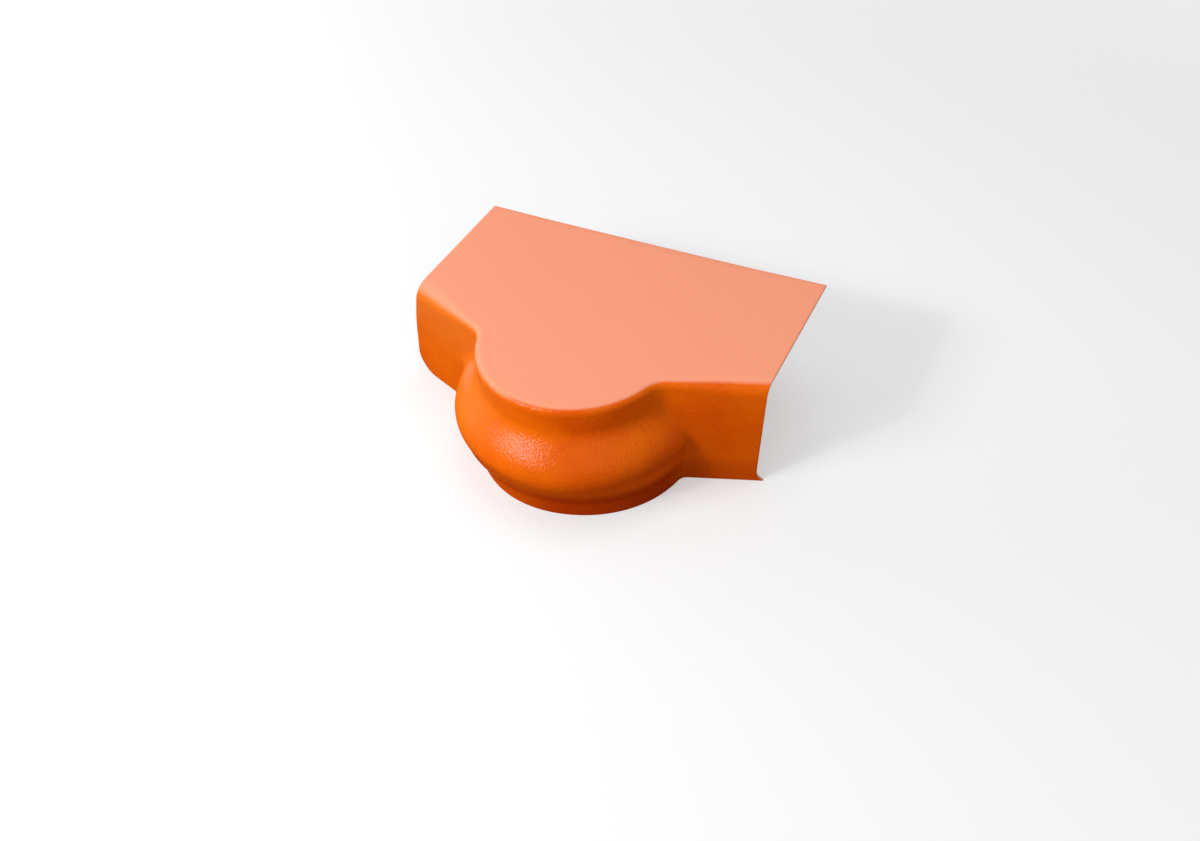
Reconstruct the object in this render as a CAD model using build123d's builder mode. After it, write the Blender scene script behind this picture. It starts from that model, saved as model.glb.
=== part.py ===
from build123d import *
import os
from math import cos, radians, sqrt, tan

os.makedirs("parts", exist_ok=True)

# Ridge end cap: one moulded plastic shell, lying with its flat gable face up.
# The round lobe faces -Y, the long cut edge of the gable face is at the back.
# Origin in the middle of the bounding box's foot, on the floor.

# Driving dimensions, millimetres and degrees
width = 442.0           # long cut edge of the gable face
side_length = 182.5     # gable face from the long edge to each side corner
lobe_setback = 189.0    # long edge to the centre of the round lobe
height = 146.0          # hem of the skirt to the gable face
skirt_sheet = 3.4       # sheet thickness round the skirt
face_sheet = 2.2        # the gable face is drawn thinner in the mould
wing_slope = 19.5       # roof pitch of each wing
rim_radius = 116.0      # lobe in the groove under the gable face
bead_radius = 148.5     # lobe at the fullest part of the bead
neck_radius = 132.5     # lobe at the hem
bead_curve = 29.0       # how tightly the groove, the bead and the neck curve
notch_blend = 20.0      # inside corner between a wing and the lobe
edge_rounding = 10.0    # edge round the gable face

# Depths below the gable face where the lobe's moulding changes
groove_end = 24.0       # straight groove ends and the bead starts to swell
bead_depth = 80.0       # fullest part of the bead
neck_start = 120.0      # the bead has drawn in to the straight neck

# Trimmed ends of the wings, seen from the front
end_lean = 36.0         # the left wing's end leans out by this much at the hem
corner_round = 26.0     # and its foot is rounded
end_taper = 8.0         # the right wing's end stands in by this much near its foot
ear_height = 13.0       # and from here its foot runs out again to a point

# The mould runs past the trimmed edges
overrun = 50.0

half_width = width / 2
overall_length = lobe_setback + bead_radius
back_y = overall_length / 2
lobe_y = back_y - lobe_setback
slope = radians(wing_slope)
groove_z = height - groove_end
bead_z = height - bead_depth
neck_z = height - neck_start


def handle(step, curve):
    """Length of an S-curve's end handle, from its sideways step and the radius it starts with."""
    return sqrt(2 * step * curve / 3)


def mould_form(sheet, top_sheet):
    """Solid under the cap's outer skin (0, 0), or under its inner skin (the sheet's thicknesses)."""
    top = height - top_sheet
    rim = rim_radius - sheet
    bead = bead_radius - sheet
    neck = neck_radius - sheet
    swell = bead_radius - rim_radius
    draw = bead_radius - neck_radius
    hollow_curve = bead_curve + sheet
    full_curve = bead_curve - sheet
    wing_end_x = half_width + overrun
    wing_end_y = back_y - side_length + overrun * tan(slope) + sheet / cos(slope)
    apex_y = wing_end_y - wing_end_x * tan(slope)
    rear_y = back_y + overrun

    with BuildPart() as form:
        # Round lobe with its groove, bead and neck, turned about its upright axis
        with BuildSketch(Plane.XZ.offset(-lobe_y)):
            with BuildLine():
                Polyline((neck, neck_z), (neck, 0), (0, 0), (0, top), (rim, top), (rim, groove_z))
                Bezier(
                    (rim, groove_z),
                    (rim, groove_z - handle(swell, hollow_curve)),
                    (bead, bead_z + handle(swell, full_curve)),
                    (bead, bead_z),
                )
                Bezier(
                    (bead, bead_z),
                    (bead, bead_z - handle(draw, full_curve)),
                    (neck, neck_z + handle(draw, hollow_curve)),
                    (neck, neck_z),
                )
            make_face()
        revolve(axis=Axis((0, lobe_y, 0), (0, 0, 1)))

        # Both wings and the gable face, one gable-shaped block
        with BuildSketch():
            with BuildLine():
                Polyline(
                    (-wing_end_x, rear_y),
                    (-wing_end_x, wing_end_y),
                    (0, apex_y),
                    (wing_end_x, wing_end_y),
                    (wing_end_x, rear_y),
                    close=True,
                )
            make_face()
        extrude(amount=top)

        # Inside corners where the lobe leaves the wings, from the hem to the gable face
        upright = form.edges().filter_by(lambda edge: edge.bounding_box().size.Z > skirt_sheet)
        front = upright.filter_by(lambda edge: edge.center().Y < 0)
        notches = front.filter_by(lambda edge: abs(edge.center().X) < bead_radius)
        fillet(notches, radius=notch_blend + sheet)

        # Edge of the gable face, along both wings and round the lobe
        gable_edges = form.edges().group_by(Axis.Z)[-1]
        fillet(gable_edges.filter_by(lambda edge: edge.center().Y < 0), radius=edge_rounding - sheet)
    return form.part


# Outside of the mould, and the space under the sheet
mould = mould_form(0, 0)
hollow = mould_form(skirt_sheet, face_sheet)

# Sheet that is left, trimmed straight along the long edge and to shape at the wing ends
with BuildPart() as trimmed:
    add(mould)
    add(hollow, mode=Mode.SUBTRACT)
    with BuildSketch(Plane.XZ.offset(-back_y)) as trim:
        with BuildLine():
            foot_x = half_width - end_taper
            Polyline((foot_x, ear_height), (half_width, height), (-half_width, height))
            Line((-half_width, height), (-half_width - end_lean, 0))
            Line((-half_width - end_lean, 0), (half_width, 0))
            TangentArc((foot_x, ear_height), (half_width, 0), tangent=(0, -1))
        make_face()
        fillet(trim.vertices().group_by(Axis.Z)[0].sort_by(Axis.X)[0], radius=corner_round)
    extrude(amount=overall_length + overrun, mode=Mode.INTERSECT)

# The leaning end widens one side, so the middle of the whole moves to the origin
with BuildPart() as ridge_end_cap:
    add(trimmed.part.moved(Location((-trimmed.part.bounding_box().center().X, 0, 0))))

ridge_end_cap.part.label = "ridge_end_cap"
export_step(ridge_end_cap.part, "parts/ridge_end_cap.step")
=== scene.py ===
"""Ridge end cap of moulded orange plastic, standing on its hem on a pale studio floor.

The cap is one sheet, so it is one piece: an outer skin worked out as a grid of two parameters, an
inner skin one sheet thickness behind it, and a softly rounded strip along the cut edge that joins
the two. All lengths are in metres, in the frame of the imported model. A span is a pair of values
between which an S-shaped step runs, from its first value to its second.
"""

import logging
from dataclasses import dataclass, field
from enum import Enum
from math import atan, cos, pi, radians, sin, sqrt, tan

import bpy
import numpy as np
from mathutils import Matrix, Vector

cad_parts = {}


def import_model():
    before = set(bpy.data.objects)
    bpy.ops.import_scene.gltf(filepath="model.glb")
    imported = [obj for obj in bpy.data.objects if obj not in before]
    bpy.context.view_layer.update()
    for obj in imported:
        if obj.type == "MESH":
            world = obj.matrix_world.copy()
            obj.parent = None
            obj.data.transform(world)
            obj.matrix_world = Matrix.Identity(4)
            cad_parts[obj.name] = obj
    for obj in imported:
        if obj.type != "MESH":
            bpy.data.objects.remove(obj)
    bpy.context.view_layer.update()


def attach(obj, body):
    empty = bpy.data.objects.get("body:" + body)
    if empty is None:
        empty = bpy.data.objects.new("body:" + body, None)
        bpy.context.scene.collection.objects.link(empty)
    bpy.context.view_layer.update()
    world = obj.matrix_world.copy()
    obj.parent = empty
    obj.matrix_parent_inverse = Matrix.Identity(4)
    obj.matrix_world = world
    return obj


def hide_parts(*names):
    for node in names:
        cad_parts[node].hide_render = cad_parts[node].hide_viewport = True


LOG = logging.getLogger("ridge_end_cap")

Colour = tuple[float, float, float]
Place = tuple[float, float, float]
Span = tuple[float, float]

WHITE: Colour = (1.0, 1.0, 1.0)


class Mark(Enum):
    """Values that each vertex carries for the finish: painted sheen, the cut edge, painted shade,
    painted light and the outer skin, in that order.
    """

    BLOOM = "painted_sheen"
    CUT_EDGE = "cut_edge"
    PAINTED_SHADE = "painted_shade"
    PAINTED_LIGHT = "painted_light"
    SKIN = "outer_skin"


def smooth(low: float, high: float, value: np.ndarray) -> np.ndarray:
    """S-shaped step from 0 at low to 1 at high: three t squared less two t cubed.

    Args:
        low: value where the step starts.
        high: value where it ends.
        value: numbers to step.

    Returns:
        The stepped numbers, from 0 to 1.
    """
    t = np.clip((value - low) / (high - low), 0.0, 1.0)
    return t * t * (3 - 2 * t)


def lifted(level: float, share: np.ndarray) -> np.ndarray:
    """Shares from 0 to 1, squeezed so that they run from the level to 1."""
    return level + (1 - level) * share


def unit(vectors: np.ndarray) -> np.ndarray:
    """Vectors along the last axis, each divided by its own length."""
    return vectors / np.maximum(np.linalg.norm(vectors, axis=-1, keepdims=True), 1e-12)


@dataclass
class GablePlan:
    """Outline of the skirt at any depth below the gable face, seen from above."""

    half_width: float = 0.221
    side_length: float = 0.1825
    lobe_setback: float = 0.189
    height: float = 0.146
    slope: float = radians(19.5)
    back_y: float = 0.16875
    middle_x: float = 0.014405

    # Groove, bead and neck of the lobe
    rim_radius: float = 0.116
    bead_radius: float = 0.1485
    neck_radius: float = 0.1320
    bead_curve: float = 0.029
    groove_end: float = 0.030
    groove_turn: float = 0.018
    bead_depth: float = 0.0815
    neck_start: float = 0.129
    bead_handle: float = 0.75
    neck_handle: float = 0.6
    profile_steps: int = 80

    # Inside corners between the lobe and the wings
    face_notch: float = 0.027
    bead_notch: float = 0.026

    # Left of the lobe, a little out of round
    left_swing: float = 0.0015
    swing_rise: Span = (radians(-163), radians(-145))
    swing_fall: Span = (radians(-100), radians(-135))
    fuller_depth: Span = (0.045, 0.095)
    drawn_depth: Span = (0.104, 0.132)
    crease_fill: float = 0.0035
    fill_rise: Span = (radians(-175), radians(-155))
    fill_fall: Span = (radians(-75), radians(-125))
    crease_start: Span = (0.092, 0.114)
    crease_end: Span = (0.118, 0.142)

    # Right end of the lobe, flatter and with a tighter corner
    right_bead: float = 0.0045
    right_neck: float = 0.004
    right_tighter: float = 0.55
    right_columns: Span = (0.58, 0.92)
    flatter_start: Span = (0.030, 0.070)
    flatter_end: Span = (0.085, 0.115)
    wider_depth: Span = (0.095, 0.125)
    tighter_depth: Span = (0.030, 0.080)

    wing_columns: int = 36
    notch_columns: int = 20
    lobe_columns: int = 112

    @property
    def columns(self) -> int:
        """Number of columns from the left wing's end to the right wing's."""
        return 2 * (self.wing_columns - 1 + self.notch_columns) + self.lobe_columns - 2

    def lobe_radius(self, depth: np.ndarray) -> np.ndarray:
        """Radius of the lobe: two cubic S-curves, groove to bead and bead to neck, read at a depth.

        Args:
            depth: distances below the gable face.

        Returns:
            The radius at each depth.
        """
        t = np.linspace(0, 1, self.profile_steps)[:, None]
        weights = np.hstack([(1 - t) ** 3, 3 * t * (1 - t) ** 2, 3 * t * t * (1 - t), t**3])
        rim, bead, neck = self.rim_radius, self.bead_radius, self.neck_radius
        start, full, end = self.groove_end, self.bead_depth, self.neck_start
        swell = sqrt(2 * (bead - rim) * self.bead_curve / 3)
        draw = sqrt(2 * (bead - neck) * self.bead_curve / 3)
        turned = start + self.groove_turn
        under, above = full + self.bead_handle * draw, end - self.neck_handle * draw
        upper = weights @ np.array([(start, rim), (turned, rim), (full - swell, bead), (full, bead)])
        lower = weights @ np.array([(full, bead), (under, bead), (above, neck), (end, neck)])
        profile = np.vstack([upper, lower[1:]])
        return np.interp(depth, profile[:, 0], profile[:, 1])

    def lobe_swing(self, angle: np.ndarray, depth: np.ndarray) -> np.ndarray:
        """How far the lobe is out of round at its left: fuller under the bead, drawn in at the hem.

        One S-step over the angle rises and another falls, and over the depth one S-step rises to
        the bead's lower half and one of twice its height falls to the hem. The same kind of hump
        fills the crease between bead and neck.

        Args:
            angle: direction from the lobe's axis, in radians.
            depth: distances below the gable face.

        Returns:
            The distance to add to the radius.
        """
        left = smooth(*self.swing_rise, angle) * smooth(*self.swing_fall, angle)
        low = smooth(*self.fuller_depth, depth) - 2 * smooth(*self.drawn_depth, depth)
        filled = smooth(*self.fill_rise, angle) * smooth(*self.fill_fall, angle)
        crease = smooth(*self.crease_start, depth) - smooth(*self.crease_end, depth)
        return self.left_swing * left * low + self.crease_fill * filled * crease

    def right_share(self) -> np.ndarray:
        """How far each column belongs to the lobe's right end: an S-step over the lobe's columns.

        Returns:
            The share of each column, from 0 to 1.
        """
        lobe = smooth(*self.right_columns, np.linspace(0, 1, self.lobe_columns)[1:-1])
        ends = self.wing_columns - 1 + self.notch_columns
        return np.concatenate([np.zeros(ends), lobe, np.ones(ends)])

    def right_change(self, depth: np.ndarray) -> np.ndarray:
        """How much wider the lobe is at its right end, where the bead flattens and the neck fills out.

        A hump of two S-steps over the bead's depth is taken off, and one S-step to the neck added.

        Args:
            depth: distances below the gable face.

        Returns:
            The distance to add to the radius, negative over the bead and positive over the neck.
        """
        bead = smooth(*self.flatter_start, depth) - smooth(*self.flatter_end, depth)
        return self.right_neck * smooth(*self.wider_depth, depth) - self.right_bead * bead

    def column_shares(self) -> np.ndarray:
        """Place of each column within its own stretch: wing, notch, lobe, then notch and wing back.

        Returns:
            The share of the stretch at each column, from 0 to 1.
        """
        wing = np.linspace(0, 1, self.wing_columns)[:-1]
        side = np.concatenate([wing, np.linspace(0, 1, self.notch_columns)])
        return np.concatenate([side, np.linspace(0, 1, self.lobe_columns)[1:-1], side[::-1]])

    def outline(
        self, depth: np.ndarray, inset: np.ndarray, left_x: np.ndarray, right_x: np.ndarray
    ) -> tuple[np.ndarray, np.ndarray]:
        """Points from the left wing's end, round the lobe, to the right wing's end.

        Wing: straight at the roof pitch. Notch: an arc that touches the wing's line and the lobe's
        circle. Lobe: the circle's arc between the two notches. An inset moves the wing's line in,
        takes from the lobe's radius and adds to the notch's, so the notch keeps its centre. All
        arrays are rows by columns.

        Args:
            depth: distances below the gable face.
            inset: distances inward from the full outline.
            left_x: x of the left wing's end at that depth, from the lobe's axis.
            right_x: x of the right wing's end at that depth, from the lobe's axis.

        Returns:
            x from the lobe's axis, and y.
        """
        at_right = self.right_share()
        full = self.lobe_radius(depth) + self.right_change(depth) * at_right
        fullness = np.clip((full - self.rim_radius) / (self.bead_radius - self.rim_radius), 0, 1)
        blend = self.face_notch + (self.bead_notch - self.face_notch) * fullness
        blend = blend * (1 - self.right_tighter * at_right * smooth(*self.tighter_depth, depth)) + inset
        radius = full - inset
        lobe_y = self.back_y - self.lobe_setback
        wing_rise = (self.side_length - self.lobe_setback) * cos(self.slope)
        reach = wing_rise + self.half_width * sin(self.slope) - inset
        turn = np.arcsin((reach + blend) / (radius + blend)) - self.slope
        centre_x = np.cos(turn) * (radius + blend)
        centre_y = lobe_y - np.sin(turn) * (radius + blend)
        wing_x = centre_x - sin(self.slope) * blend
        wing_y = centre_y + cos(self.slope) * blend

        share = self.column_shares()
        notch_angle = (pi / 2 + self.slope) + (pi / 2 - turn - self.slope) * share
        notch_x = centre_x + blend * np.cos(notch_angle)
        notch_y = centre_y + blend * np.sin(notch_angle)
        lobe_angle = (turn - pi) + (pi - 2 * turn) * share
        radius = radius + self.lobe_swing(lobe_angle, depth)
        left = wing_x + (-left_x - wing_x) * (1 - share)
        right = wing_x + (right_x - wing_x) * (1 - share)

        wing, notch = self.wing_columns - 1, self.notch_columns
        x = radius * np.cos(lobe_angle)
        y = lobe_y + radius * np.sin(lobe_angle)
        x[:, wing:wing + notch] = -notch_x[:, wing:wing + notch]
        y[:, wing:wing + notch] = notch_y[:, wing:wing + notch]
        x[:, -wing - notch:-wing] = notch_x[:, -wing - notch:-wing]
        y[:, -wing - notch:-wing] = notch_y[:, -wing - notch:-wing]
        x[:, :wing] = -left[:, :wing]
        y[:, :wing] = (wing_y + (left - wing_x) * tan(self.slope))[:, :wing]
        x[:, -wing:] = right[:, -wing:]
        y[:, -wing:] = (wing_y + (right - wing_x) * tan(self.slope))[:, -wing:]
        return x, y


@dataclass
class WingEnds:
    """How the two wings are trimmed, seen from the front: left leans out, right leans in."""

    half_width: float = 0.221
    height: float = 0.146
    lean: float = 0.036
    foot_round: float = 0.026
    bow: float = 0.0025
    taper: float = 0.008
    ear_height: float = 0.013

    def left(self, z: np.ndarray) -> np.ndarray:
        """x of the left end: a leaning line with a slight bow, then the arc that touches the hem.

        The bow is the square of a half sine wave from the arc's height to the top.

        Args:
            z: heights above the hem.

        Returns:
            x from the lobe's axis, at each height.
        """
        lean, r = atan(self.lean / self.height), self.foot_round
        centre = -(self.half_width + self.lean) + r * (1 + sin(lean)) / cos(lean)
        bow = self.bow * np.sin(pi * np.clip((z - r) / (self.height - r), 0, 1)) ** 2
        line = -(self.half_width + self.lean * (1 - z / self.height)) - bow
        arc = centre - np.sqrt(np.maximum(r * r - (z - r) ** 2, 0))
        return np.where(z < r * (1 + sin(lean)), arc, line)

    def right(self, z: np.ndarray) -> np.ndarray:
        """x of the right end: a line that leans in, then an arc that runs out to a point.

        Args:
            z: heights above the hem.

        Returns:
            x from the lobe's axis, at each height.
        """
        foot = self.half_width - self.taper
        line = self.half_width - self.taper * (self.height - z) / (self.height - self.ear_height)
        r = (self.taper**2 + self.ear_height**2) / (2 * self.taper)
        drop = np.clip(self.ear_height - z, 0, self.ear_height)
        return np.where(z < self.ear_height, foot + r - np.sqrt(r * r - drop**2), line)


@dataclass
class Wear:
    """Where painted sheen, painted shade and painted light lie on the outer skin."""

    # Painted shade: darker towards the hem, under the bead, and over the right side
    hem_height: Span = (0.052, 0.020)
    right_side: Span = (-0.060, 0.060)
    lobe_front: Span = (-0.050, -0.075)
    left_shade: float = 0.15
    wing_shade: float = 0.55
    right_shade_height: Span = (0.125, 0.045)
    right_shade_level: float = 0.27

    # Painted sheen: a pale wash for reflected light on the face, lower at the left and in the left notch
    notch_y: Span = (-0.135, -0.045)
    notch_level: float = 0.65
    edge_height: Span = (0.115, 0.130)
    looks_left: Span = (0.05, 0.25)
    sheen_start: float = 0.80
    sheen_reach: float = 0.42
    sheen_full: float = 0.995

    # Painted light: the lit left side made yellower, most near the face
    lit_side: Span = (0.020, -0.090)
    lit_height: Span = (0.050, 0.125)
    low_painted_light: float = 0.15

    def painted_shade(self, grid: np.ndarray) -> np.ndarray:
        """How much painted shade darkens the skin where shade falls: most on the neck, a little along
        the wings' hem.

        S-steps over height, side and front are multiplied, and a thin painted shade over the right
        side is its lowest value.

        Args:
            grid: points of the outer skin.

        Returns:
            The share at each point, from 0 to 1.
        """
        low = smooth(*self.hem_height, grid[..., 2])
        right = smooth(*self.right_side, grid[..., 0])
        lobe = smooth(*self.lobe_front, grid[..., 1])
        right_shade = self.right_shade_level * smooth(*self.right_shade_height, grid[..., 2]) * right
        return np.maximum(low * lifted(self.left_shade, right) * lifted(self.wing_shade, lobe), right_shade)

    def painted_sheen(self, grid: np.ndarray, normal: np.ndarray) -> np.ndarray:
        """How much painted sheen lies on the skin: all over the face, and further down at the left.

        The sheen is a pale wash painted in for reflected light. An S-step over the normal's upward
        part, which starts lower where the skin looks left and is near the face's edge or the left notch.

        Args:
            grid: points of the outer skin.
            normal: its unit normals.

        Returns:
            The share at each point, from 0 to 1.
        """
        notch = self.notch_level * smooth(*self.notch_y, grid[..., 1])
        near = np.maximum(smooth(*self.edge_height, grid[..., 2]), notch)
        start = self.sheen_start - self.sheen_reach * smooth(*self.looks_left, -normal[..., 0]) * near
        return smooth(0.0, 1.0, (normal[..., 2] - start) / (self.sheen_full - start))

    def painted_light(self, grid: np.ndarray) -> np.ndarray:
        """How much painted light lies on the skin: the lit left side made yellower, most of all near the
        face.

        Args:
            grid: points of the outer skin.

        Returns:
            The share at each point, from 0 to 1.
        """
        high = smooth(*self.lit_height, grid[..., 2])
        return smooth(*self.lit_side, grid[..., 0]) * lifted(self.low_painted_light, high)


@dataclass
class RidgeEndCap:
    """The whole cap: gable face, rounded edge, skirt, inner skin and cut edge."""

    plan: GablePlan = field(default_factory=GablePlan)
    ends: WingEnds = field(default_factory=WingEnds)
    wear: Wear = field(default_factory=Wear)
    skirt_sheet: float = 0.0034
    face_sheet: float = 0.0022
    thinner_upward: Span = (0.3, 1.0)

    # Rounding between the gable face and the skirt
    lobe_edge: float = 0.0105
    wing_edge: float = 0.0175
    wider_along: Span = (0.0, 0.6)
    edge_power: float = 0.85
    corner_extra: float = 0.004
    corner_along: Span = (0.3, 1.0)

    # Cut edge
    edge_curl: float = 0.0004
    edge_squareness: float = 4.0
    clearance: float = 0.00005

    # Sag of the face towards the long edge, and three crossed waves: numbers in x, y and z, and phase
    sag: float = 0.0016
    sag_start: float = -0.02
    ripple: float = 0.0005
    waves: tuple[tuple[float, float, float, float], ...] = (
        (31.0, 17.0, 0.0, 1.3),
        (-19.0, 23.0, 40.0, 0.4),
        (47.0, -29.0, 26.0, 2.1),
    )

    face_rows: int = 44
    face_spacing: float = 0.9
    edge_rows: int = 13
    skirt_rows: int = 70
    foot_rows: int = 15
    strip_rows: int = 9

    def edge_radius(self) -> np.ndarray:
        """Rounding between gable face and skirt: tight round the lobe, wider along the wings.

        Returns:
            The radius for each column.
        """
        wing = np.linspace(1, 0, self.plan.wing_columns)[:-1]
        radius = np.full(self.plan.columns, self.lobe_edge)
        wider = (self.wing_edge - self.lobe_edge) * smooth(*self.wider_along, wing)
        radius[:len(wing)] += wider + self.corner_extra * smooth(*self.corner_along, wing)
        radius[-len(wing):] += wider[::-1]
        return radius

    def outer_skin(self) -> np.ndarray:
        """Grid of the outer skin: rows from the long edge over the face, its edge and the skirt.

        Face: straight columns along y at the height of the top. Edge: the outline moved in by
        r (1 - sin a to the power e) and down by r (1 - cos a to the power e), with a from 0 to 90
        degrees. With e under 1 the curve straightens towards both of its ends, so no crease shows
        there. Skirt: the outline at each depth down to the hem.

        Returns:
            Array of rows by columns by 3.
        """
        plan, margin = self.plan, self.edge_curl + self.clearance
        top, foot = plan.height, self.ends.foot_round
        radius = self.edge_radius()
        angle = np.linspace(0, pi / 2, self.edge_rows)[:, None]
        share = np.linspace(0, 1, self.skirt_rows)[1:, None]
        foot_angle = np.linspace(0, pi / 2, self.foot_rows)[1:, None]
        edge_depth = radius * (1 - np.clip(np.cos(angle), 0, 1) ** self.edge_power)
        skirt_depth = radius + (top - foot - radius) * share
        foot_depth = top - foot + (foot - margin) * np.sin(foot_angle) + 0 * radius
        depth = np.vstack([edge_depth, skirt_depth, foot_depth])
        inset = np.zeros_like(depth)
        inset[:self.edge_rows] = radius * (1 - np.sin(angle) ** self.edge_power)
        z = top - depth
        x, y = plan.outline(depth, inset, self.ends.left(z) + margin, self.ends.right(z) - margin)

        back = plan.back_y - margin
        face_share = np.linspace(0, 1, self.face_rows)[:-1, None] ** self.face_spacing
        face_y = back + (y[0] - back) * face_share
        face = np.dstack([x[0] + 0 * face_y, face_y, top + 0 * face_y])
        grid = np.vstack([face, np.dstack([x, y, z])])
        grid[..., 0] += plan.middle_x
        return grid

    def unevenness(self, grid: np.ndarray) -> np.ndarray:
        """How far the sheet stands in from its ideal form: three crossed sine waves, never outward.

        Args:
            grid: points of the skin.

        Returns:
            The distance at each point, from 0 to the ripple's height.
        """
        waves = np.array(self.waves)
        total = np.sin(grid @ waves[:, :3].T + waves[:, 3]).sum(axis=-1)
        return self.ripple * (total + len(waves)) / (2 * len(waves))

    @staticmethod
    def normals(grid: np.ndarray) -> np.ndarray:
        """Outward unit normals: the cross product of the grid's two directions.

        Args:
            grid: points, rows by columns by 3.

        Returns:
            One normal for each point.
        """
        along = np.gradient(grid, axis=1)
        down = np.gradient(grid, axis=0)
        return unit(np.cross(down, along))

    def skins(self) -> tuple[np.ndarray, np.ndarray, np.ndarray]:
        """Outer skin, inner skin one sheet behind it, and the outer skin's normals.

        The sag grows with an S-step towards the long edge, and across the face as 1 less x squared.

        Returns:
            Three arrays of rows by columns by 3.
        """
        outer = self.outer_skin()
        flat = self.normals(outer)
        outer = outer - flat * self.unevenness(outer)[..., None]
        outer[-1, :, 2] = self.edge_curl + self.clearance
        x = (outer[..., 0] - self.plan.middle_x) / self.plan.half_width
        back = smooth(self.sag_start, self.plan.back_y, outer[..., 1]) * np.clip(flat[..., 2], 0, 1)
        outer[..., 2] -= self.sag * back * np.clip(1 - x * x, 0, 1)
        normal = self.normals(outer)
        normal[-1, :, 2] = 0
        normal = unit(normal)
        thinner = smooth(*self.thinner_upward, normal[..., 2])
        sheet = self.skirt_sheet + (self.face_sheet - self.skirt_sheet) * thinner
        return outer, outer - normal * sheet[..., None], normal

    @staticmethod
    def border(grid: np.ndarray) -> np.ndarray:
        """Points round the grid's border, once round, without repeating the corners."""
        return np.concatenate([grid[0, :-1], grid[:-1, -1], grid[-1, :0:-1], grid[:0:-1, 0]])

    def strip(self, outer: np.ndarray, inner: np.ndarray) -> np.ndarray:
        """Rings of the cut edge between the skins, flat with softly rounded corners.

        A ring at share s stands out from the straight cut by the curl times the n-th root of one
        less (2 s - 1) to the n, with n the squareness.

        Args:
            outer: points of the outer skin.
            inner: points of the inner skin.

        Returns:
            Array of rings by border points by 3.
        """
        out = np.zeros_like(outer)
        out[0] += unit(outer[0] - outer[1])
        out[-1] += unit(outer[-1] - outer[-2])
        out[:, 0] += unit(outer[:, 0] - outer[:, 1])
        out[:, -1] += unit(outer[:, -1] - outer[:, -2])
        away = unit(self.border(out))
        first, last = self.border(outer), self.border(inner)
        share = (1 - np.cos(np.linspace(0, pi, self.strip_rows)[1:-1])) / 2
        n = self.edge_squareness
        bulge = self.edge_curl * (1 - np.abs(2 * share - 1) ** n) ** (1 / n)
        return first + (last - first) * share[:, None, None] + away * bulge[:, None, None]

    def build(self) -> bpy.types.Object:
        """Joins the skins and the cut edge into one closed mesh, with the marks for the finish.

        Returns:
            The cap's object, at the origin.
        """
        outer, inner, normal = self.skins()
        rows, columns = outer.shape[:2]
        strip = self.strip(outer, inner)
        count = rows * columns
        index = np.arange(count).reshape(rows, columns)
        points = np.vstack([outer.reshape(-1, 3), inner.reshape(-1, 3), strip.reshape(-1, 3)])

        corners = [index[:-1, :-1], index[1:, :-1], index[1:, 1:], index[:-1, 1:]]
        quads = np.stack(corners, axis=-1).reshape(-1, 4)
        rings = 2 * count + np.arange(strip.shape[0] * strip.shape[1]).reshape(strip.shape[:2])
        rings = np.vstack([self.border(index), rings, self.border(index) + count])
        after = np.roll(rings, -1, axis=1)
        bands = np.stack([rings[:-1], after[:-1], after[1:], rings[1:]], axis=-1).reshape(-1, 4)
        faces = np.vstack([quads, quads[:, ::-1] + count, bands])

        mesh = bpy.data.meshes.new("ridge_end_cap_sheet")
        mesh.from_pydata(points.tolist(), [], faces.tolist())
        mesh.polygons.foreach_set("use_smooth", np.ones(len(faces), bool))
        mesh.update()
        cap = bpy.data.objects.new("cap_sheet", mesh)
        bpy.context.scene.collection.objects.link(cap)

        marks = {mark: np.zeros(len(points)) for mark in Mark}
        # Painted sheen, the cut edge, painted shade and painted light, then the outer skin
        marks[Mark.BLOOM][:count] = self.wear.painted_sheen(outer, normal).ravel()
        marks[Mark.CUT_EDGE][2 * count:] = 1
        marks[Mark.PAINTED_SHADE][:count] = self.wear.painted_shade(outer).ravel()
        marks[Mark.PAINTED_LIGHT][:count] = self.wear.painted_light(outer).ravel()
        marks[Mark.SKIN][:count] = 1
        for mark, values in marks.items():
            mesh.attributes.new(mark.value, "FLOAT", "POINT").data.foreach_set("value", values)
        return cap


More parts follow.
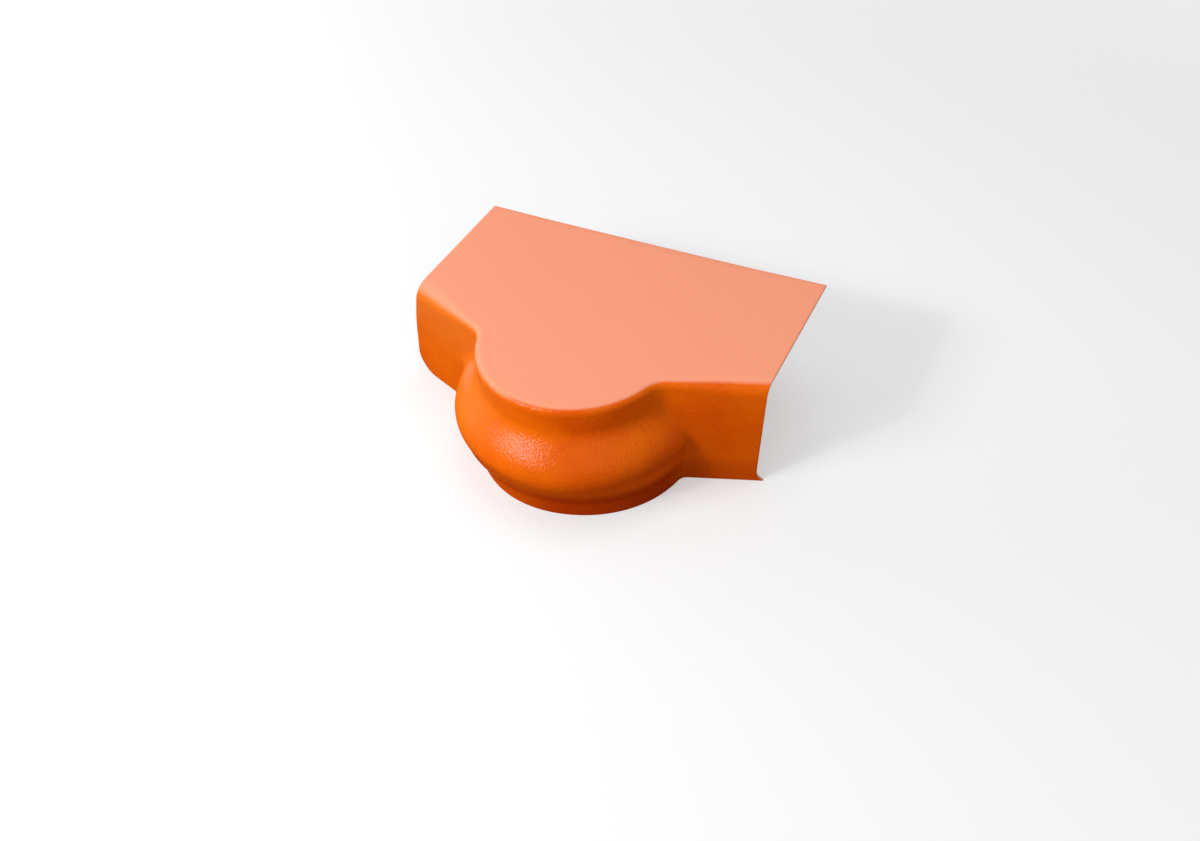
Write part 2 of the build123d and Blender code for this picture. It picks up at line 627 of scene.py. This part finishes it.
class NodeBench:
    """Adds nodes to one node tree and joins them as they are added."""

    def __init__(self, tree: bpy.types.NodeTree) -> None:
        """Keeps the tree that the nodes go into."""
        self.tree = tree

    def fill(self, socket: bpy.types.NodeSocket, value: object) -> None:
        """Gives an input its value: a link from an output, or else a constant.

        Args:
            socket: the input.
            value: an output to link, a number, a vector, or a colour of three or four parts.
        """
        if isinstance(value, bpy.types.NodeSocket):
            self.tree.links.new(value, socket)
        elif socket.type == "RGBA":
            socket.default_value = (*value[:3], 1)
        else:
            socket.default_value = value

    def add(self, kind: str, inputs: dict[str | int, object], **choices: str) -> bpy.types.Node:
        """Adds a node.

        Args:
            kind: type of the node, without the leading word ShaderNode.
            inputs: values by the input's name or number.
            choices: the node's own settings, made before its inputs are filled.

        Returns:
            The new node.
        """
        node = self.tree.nodes.new(f"ShaderNode{kind}")
        for name, choice in choices.items():
            setattr(node, name, choice)
        for name, value in inputs.items():
            self.fill(node.inputs[name], value)
        return node

    def math(self, operation: str, *values: object) -> bpy.types.NodeSocket:
        """Output of a Math node with these values."""
        return self.add("Math", dict(enumerate(values)), operation=operation).outputs["Value"]

    def between(self, low: float, high: float, share: object) -> bpy.types.NodeSocket:
        """Output that runs from low to high as the share runs from 0 to 1."""
        inputs = {"To Min": low, "To Max": high, "Value": share}
        return self.add("MapRange", inputs).outputs["Result"]

    def tint(self, base: object, tint: Colour, share: object) -> bpy.types.NodeSocket:
        """Output that mixes a tint into a base colour by a share."""
        inputs = {"Factor": share, "A": base, "B": tint}
        return self.add("Mix", inputs, data_type="RGBA").outputs["Result"]

    def mark(self, mark: Mark) -> bpy.types.NodeSocket:
        """Output with the vertices' values of a mark."""
        return self.add("Attribute", {}, attribute_name=mark.value).outputs["Fac"]


@dataclass(frozen=True)
class OrangePvc:
    """Satin orange plastic with a fine leathery grain, paler on the gable face by painted sheen, with
    painted light and shade.
    """

    orange: Colour = (0.85, 0.145, 0.0)
    deep_orange: Colour = (0.74, 0.095, 0.0)
    # Painted light: the yellower orange that stands in for light on the left side
    painted_light_colour: Colour = (0.80, 0.175, 0.014)
    # Painted shade: the dark red that stands in for shade low down and on the right
    painted_shade_colour: Colour = (0.46, 0.042, 0.0)
    # Painted sheen: the pale wash for reflected light on the face
    face_sheen_colour: Colour = (0.90, 0.325, 0.190)
    cut_edge: Colour = (0.90, 0.36, 0.16)
    colour_span: Span = (0.40, 0.72)
    mottle_scale: float = 14.0
    mottle_detail: float = 5.0
    streak_scale: Place = (9.0, 9.0, 260.0)
    streak_detail: float = 3.0
    streak_share: float = 0.18
    roughness: float = 0.26
    face_roughness: float = 0.44
    patchiness: float = 0.05
    gloss: float = 0.18
    ior: float = 1.52
    grain_size: float = 0.0028
    grain_depth: float = 0.00050
    grain_strength: float = 0.55
    face_grain_strength: float = 0.16
    pore_scale: float = 400.0
    pore_detail: float = 2.0
    pore_share: float = 1.4

    def colour(
        self, bench: NodeBench, place: bpy.types.NodeSocket, mottle: bpy.types.NodeSocket
    ) -> bpy.types.NodeSocket:
        """Orange with faint moulding streaks and mottling, tinted in turn by painted light, painted
        shade, painted sheen and the cut edge.

        Args:
            bench: the material's nodes.
            place: Object coordinates.
            mottle: slow noise.

        Returns:
            The colour's output.
        """
        stretched = bench.add("Mapping", {"Vector": place, "Scale": self.streak_scale}).outputs["Vector"]
        inputs = {"Vector": stretched, "Scale": 1.0, "Detail": self.streak_detail}
        streaks = bench.add("TexNoise", inputs).outputs["Fac"]
        uneven = bench.math("MULTIPLY_ADD", streaks, self.streak_share, mottle)
        body = bench.add("ValToRGB", {"Fac": uneven})
        stops = zip(body.color_ramp.elements, self.colour_span, (self.deep_orange, self.orange))
        for stop, position, colour in stops:
            stop.position = position
            stop.color = (*colour, 1)

        shown = body.outputs["Color"]
        # Painted light, painted shade and painted sheen, then the pale cut edge
        tints = {
            Mark.PAINTED_LIGHT: self.painted_light_colour,
            Mark.PAINTED_SHADE: self.painted_shade_colour,
            Mark.BLOOM: self.face_sheen_colour,
            Mark.CUT_EDGE: self.cut_edge,
        }
        for mark, tint in tints.items():
            shown = bench.tint(shown, tint, bench.mark(mark))
        return shown

    def grain(self, bench: NodeBench, place: bpy.types.NodeSocket) -> bpy.types.NodeSocket:
        """Bump of small cells and finer pores, weak where the sheen is painted and none on the inner
        skin.

        Args:
            bench: the material's nodes.
            place: Object coordinates.

        Returns:
            The normal's output.
        """
        cells = bench.add("TexVoronoi", {"Vector": place, "Scale": 1 / self.grain_size}, feature="F1")
        inputs = {"Vector": place, "Scale": self.pore_scale, "Detail": self.pore_detail}
        pores = bench.add("TexNoise", inputs).outputs["Fac"]
        relief = bench.math("MULTIPLY_ADD", pores, self.pore_share, cells.outputs["Distance"])
        depth = bench.between(self.grain_strength, self.face_grain_strength, bench.mark(Mark.BLOOM))
        strength = bench.math("MULTIPLY", depth, bench.mark(Mark.SKIN))
        inputs = {"Strength": strength, "Distance": self.grain_depth, "Height": relief}
        return bench.add("Bump", inputs).outputs["Normal"]

    def material(self) -> bpy.types.Material:
        """Node material that reads Object coordinates and the vertex marks.

        Returns:
            The material.
        """
        material = bpy.data.materials.new("orange_pvc")
        material.use_nodes = True
        material.node_tree.nodes.clear()
        bench = NodeBench(material.node_tree)
        place = bench.add("TexCoord", {}).outputs["Object"]
        inputs = {"Vector": place, "Scale": self.mottle_scale, "Detail": self.mottle_detail}
        mottle = bench.add("TexNoise", inputs).outputs["Fac"]
        patchy = bench.between(-self.patchiness, self.patchiness, mottle)
        duller = bench.between(self.roughness, self.face_roughness, bench.mark(Mark.BLOOM))
        inputs = {
            "Base Color": self.colour(bench, place, mottle),
            "Normal": self.grain(bench, place),
            "Roughness": bench.math("ADD", patchy, duller),
            "IOR": self.ior,
            "Specular IOR Level": self.gloss,
        }
        shader = bench.add("BsdfPrincipled", inputs)
        bench.add("OutputMaterial", {"Surface": shader.outputs["BSDF"]})
        return material


@dataclass
class Lamp:
    """One soft rectangular lamp that faces the cap."""

    name: str
    place: Place
    size: tuple[float, float]
    watts: float
    mirrored: bool = True

    def build(self, target: Vector) -> bpy.types.Object:
        """Puts the lamp in its place, turned to the target.

        Args:
            target: point that it faces.

        Returns:
            The lamp's object.
        """
        light = bpy.data.lights.new(self.name, "AREA")
        light.shape = "RECTANGLE"
        light.size, light.size_y = self.size
        light.energy = self.watts
        lamp = bpy.data.objects.new(self.name, light)
        lamp.location = self.place
        lamp.visible_glossy = self.mirrored
        lamp.rotation_euler = (target - lamp.location).to_track_quat("-Z", "Y").to_euler()
        bpy.context.scene.collection.objects.link(lamp)
        return lamp


@dataclass
class Studio:
    """Pale floor, even surroundings, soft lamps and the photograph's camera."""

    # Floor, as the camera sees it and as it lights the cap
    floor_size: float = 14.0
    floor_colour: Colour = (0.50, 0.505, 0.51)
    floor_roughness: float = 0.9
    floor_glow: float = 0.42
    fade_start: float = 0.7
    fade_end: float = 2.6
    floor_bounce: Colour = (0.36, 0.22, 0.125)
    floor_glint: Colour = (0.09, 0.035, 0.010)

    surround_level: float = 0.28
    mirrored_share: float = 0.4
    lamps: tuple[Lamp, ...] = (
        Lamp("front_lamp", (-1.30, -1.76, 1.64), (1.2, 0.5), 40.0),
        Lamp("glint_lamp", (-0.95, -1.60, 1.56), (0.10, 0.10), 8.0),
        Lamp("left_lamp", (-2.00, 0.20, 0.60), (1.8, 0.9), 20.0, mirrored=False),
        Lamp("overhead_lamp", (0.10, 0.40, 2.40), (1.6, 1.6), 15.5),
        Lamp("right_lamp", (1.30, -1.60, 1.60), (1.6, 1.6), 10.0, mirrored=False),
    )

    # Camera: the target is the point of the cap that shows at target_px in the image
    image: tuple[int, int] = (1200, 841)
    focal_px: float = 1067.3
    azimuth: float = radians(31.353)
    elevation: float = radians(45.122)
    roll: float = radians(-5.943)
    distance: float = 1.2168
    target: Place = (0.014405, -0.03125, 0.080)
    target_px: tuple[float, float] = (577.8, 387.6)
    sensor_width_mm: float = 36.0
    nearest: float = 0.05
    farthest: float = 50.0

    def floor_paper(self) -> bpy.types.Material:
        """Finish of the floor.

        The camera sees pale paper that fades to white with distance from the middle. Other rays
        see a plain warm floor, darker where it is mirrored.

        Returns:
            The material.
        """
        material = bpy.data.materials.new("floor_paper")
        material.use_nodes = True
        material.node_tree.nodes.clear()
        bench = NodeBench(material.node_tree)
        rays = bench.add("LightPath", {})
        inputs = {
            "Base Color": self.floor_colour,
            "Roughness": self.floor_roughness,
            "Emission Color": WHITE,
            "Emission Strength": self.floor_glow,
        }
        paper = bench.add("BsdfPrincipled", inputs).outputs["BSDF"]

        place = bench.add("TexCoord", {}).outputs["Object"]
        away = bench.add("VectorMath", {0: place}, operation="LENGTH").outputs["Value"]
        inputs = {"Value": away, "From Min": self.fade_start, "From Max": self.fade_end}
        fade = bench.add("MapRange", inputs, interpolation_type="SMOOTHSTEP").outputs["Result"]
        white = bench.add("Emission", {"Color": WHITE}).outputs["Emission"]
        seen = bench.add("MixShader", {"Fac": fade, 1: paper, 2: white}).outputs["Shader"]

        tint = bench.tint(self.floor_bounce, self.floor_glint, rays.outputs["Is Glossy Ray"])
        bounce = bench.add("BsdfDiffuse", {"Color": tint}).outputs["BSDF"]
        inputs = {"Fac": rays.outputs["Is Camera Ray"], 1: bounce, 2: seen}
        choice = bench.add("MixShader", inputs)
        bench.add("OutputMaterial", {"Surface": choice.outputs["Shader"]})
        return material

    def build_floor(self) -> bpy.types.Object:
        """Flat floor that the hem stands on.

        Returns:
            The floor's object.
        """
        half = self.floor_size / 2
        corners = [(-half, -half, 0), (half, -half, 0), (half, half, 0), (-half, half, 0)]
        mesh = bpy.data.meshes.new("floor")
        mesh.from_pydata(corners, [], [(0, 1, 2, 3)])
        mesh.materials.append(self.floor_paper())
        floor = bpy.data.objects.new("floor", mesh)
        bpy.context.scene.collection.objects.link(floor)
        return floor

    def build_surround(self) -> None:
        """Even white light from all round, seen as white by the camera and dimmer in mirror images."""
        world = bpy.data.worlds.new("studio")
        world.use_nodes = True
        bpy.context.scene.world = world
        bench = NodeBench(world.node_tree)
        rays = bench.add("LightPath", {})
        level = bench.between(self.surround_level, 1.0, rays.outputs["Is Camera Ray"])
        dimmer = bench.between(1.0, self.mirrored_share, rays.outputs["Is Glossy Ray"])
        glow = world.node_tree.nodes["Background"]
        bench.fill(glow.inputs["Color"], WHITE)
        bench.fill(glow.inputs["Strength"], bench.math("MULTIPLY", level, dimmer))

    def build_camera(self) -> bpy.types.Object:
        """Camera at the photograph's angle, from the fit of the cap's outline.

        Returns:
            The camera's object.
        """
        az, el = self.azimuth, self.elevation
        back = Vector((sin(az) * cos(el), -cos(az) * cos(el), sin(el)))
        right = Vector((cos(az), sin(az), 0))
        up = back.cross(right)
        turned_right = right * cos(self.roll) + up * sin(self.roll)
        turned_up = up * cos(self.roll) - right * sin(self.roll)
        across = (self.target_px[0] - self.image[0] / 2) / self.focal_px
        above = (self.image[1] / 2 - self.target_px[1]) / self.focal_px
        ray = turned_right * across + turned_up * above - back
        data = bpy.data.cameras.new("camera")
        data.sensor_width = self.sensor_width_mm
        data.lens = self.focal_px / self.image[0] * self.sensor_width_mm
        data.clip_start, data.clip_end = self.nearest, self.farthest
        camera = bpy.data.objects.new("camera", data)
        turn = Matrix((turned_right, turned_up, back)).transposed().to_4x4()
        camera.matrix_world = Matrix.Translation(Vector(self.target) - ray * self.distance) @ turn
        bpy.context.scene.collection.objects.link(camera)
        bpy.context.scene.camera = camera
        return camera

    def build(self) -> bpy.types.Object:
        """Floor, surroundings, lamps and camera.

        Returns:
            The floor's object, for the stage.
        """
        floor = self.build_floor()
        self.build_surround()
        for lamp in self.lamps:
            lamp.build(Vector(self.target))
        self.build_camera()
        bpy.context.scene.view_settings.view_transform = "Standard"
        return floor


def main() -> None:
    """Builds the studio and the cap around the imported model."""
    logging.basicConfig(level=logging.INFO, format="%(name)s: %(message)s")
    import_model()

    floor = Studio().build()

    cap = RidgeEndCap().build()
    cap.data.materials.append(OrangePvc().material())
    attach(cap, "root")
    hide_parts("ridge_end_cap")
    LOG.info("%s: %d faces", cap.name, len(cap.data.polygons))


if __name__ == "__main__":
    main()
